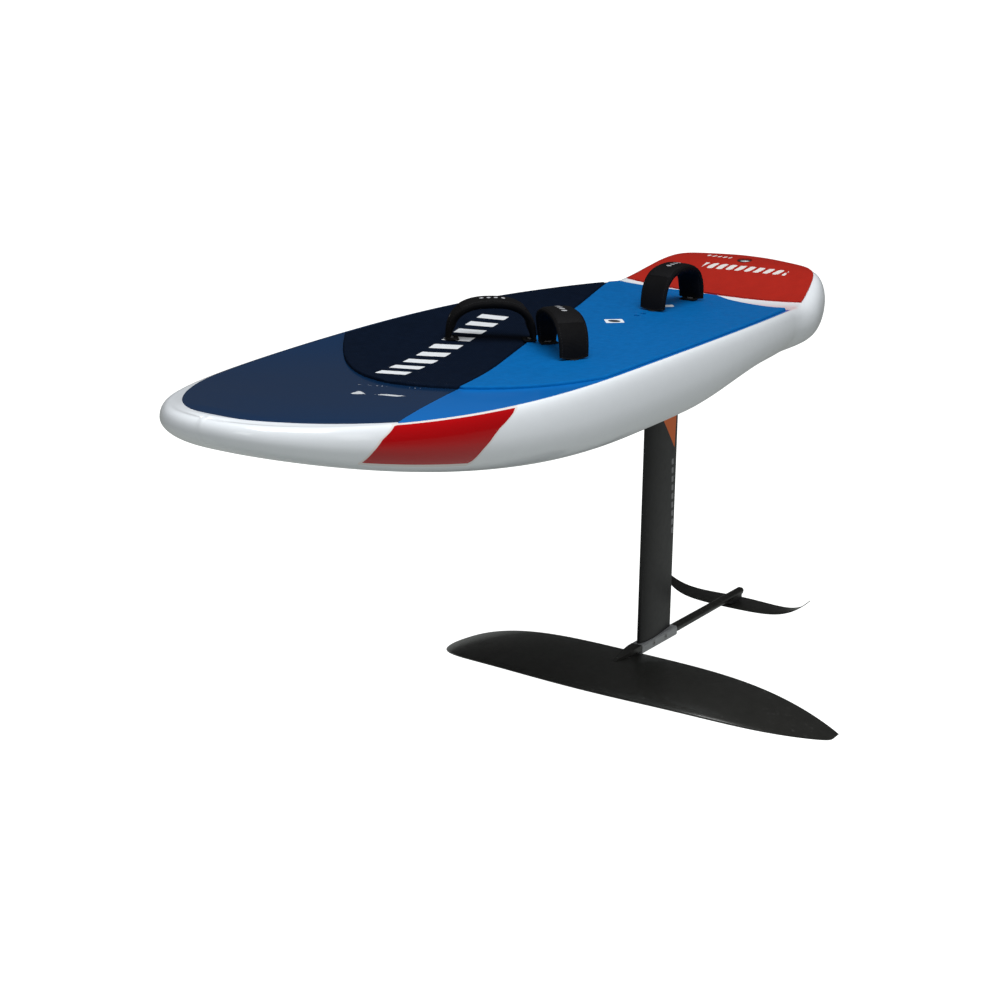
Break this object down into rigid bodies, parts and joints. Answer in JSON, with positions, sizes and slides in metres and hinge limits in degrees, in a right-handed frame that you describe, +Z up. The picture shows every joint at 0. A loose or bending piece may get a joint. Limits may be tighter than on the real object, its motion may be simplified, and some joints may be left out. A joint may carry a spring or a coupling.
{
  "type": "wing foil board with hydrofoil",
  "caption": "Wide foam-core foiling board with padded deck, three footstraps and a bolted-on mast, fuselage, front wing and stabiliser.",
  "frame": {"origin": "centre of the mast head on the flat bottom of the board", "axes": "+X to the nose, +Y to port (the rider's left), +Z up through the deck"},
  "size_m": [1.8326, 0.916, 0.895],
  "materials": {
    "hull_white": "glossy white lacquer",
    "deck_navy": "glossy dark blue paint",
    "foam": "expanded foam beads",
    "hard_foam": "high density foam",
    "pad_navy": "ribbed soft foam",
    "pad_blue": "brushed soft foam",
    "tail_red": "smooth soft film",
    "black_plastic": "moulded plastic",
    "seal_rubber": "rubber",
    "webbing": "woven webbing",
    "neoprene": "neoprene with stitched edges",
    "steel": "stainless steel",
    "black_alu": "black anodised",
    "silver_alu": "clear anodised",
    "composite": "satin carbon composite"
  },
  "bodies": {
    "board": {"hull_skin": "hull_white", "deck_skin": "deck_navy", "foam_core": "foam", "track_block": "hard_foam", "foil_tracks": "black_plastic", "strap_plugs": "black_plastic", "front_pad": "pad_navy", "rear_pad": "pad_blue", "tail_pad": "tail_red", "vent_housing": "black_plastic", "vent_seal": "seal_rubber", "leash_cup": "black_plastic", "leash_bar": "steel", "strap_anchors": "black_plastic", "strap_screws": "steel"},
    "strap_left": {"webbing_left": "webbing", "cover_left": "neoprene"},
    "strap_right": {"webbing_right": "webbing", "cover_right": "neoprene"},
    "strap_rear": {"webbing_rear": "webbing", "cover_rear": "neoprene"},
    "vent_cap": {"vent_screw": "black_plastic"},
    "foil": {"t_nuts": "steel", "plate_washers": "steel", "plate_bolts": "steel", "base_plate": "black_alu", "mast_head_screws": "steel", "mast": "black_alu", "fuselage_centre": "silver_alu", "mast_foot_screws": "steel", "fuselage_front": "black_alu", "fuselage_rear": "black_alu", "tube_grub_screws": "steel", "rear_tube_plug": "black_plastic", "front_wing": "composite", "wing_screws": "steel", "stab_shim": "black_plastic", "stabiliser": "composite", "stab_screws": "steel"}
  },
  "joints": [
    {"name": "foil_slide", "type": "slide", "parent": "board", "child": "foil", "axis": [1, 0, 0], "range_m": [-0.06, 0.06]},
    {"name": "lean_left", "type": "hinge", "parent": "board", "child": "strap_left", "pos_m": [0.52, 0.076, 0.117], "axis": [0.6428, 0.766, 0], "range_deg": [-10, 10]},
    {"name": "lean_right", "type": "hinge", "parent": "board", "child": "strap_right", "pos_m": [0.52, -0.076, 0.117], "axis": [0.6428, -0.766, 0], "range_deg": [-10, 10]},
    {"name": "lean_rear", "type": "hinge", "parent": "board", "child": "strap_rear", "pos_m": [-0.026, 0, 0.10067], "axis": [1, 0, 0], "range_deg": [-10, 10]},
    {"name": "vent_turn", "type": "hinge", "parent": "board", "child": "vent_cap", "pos_m": [0.202, 0, 0.10274], "axis": [0, 0, 1], "range_deg": [0, 540]}
  ]
}
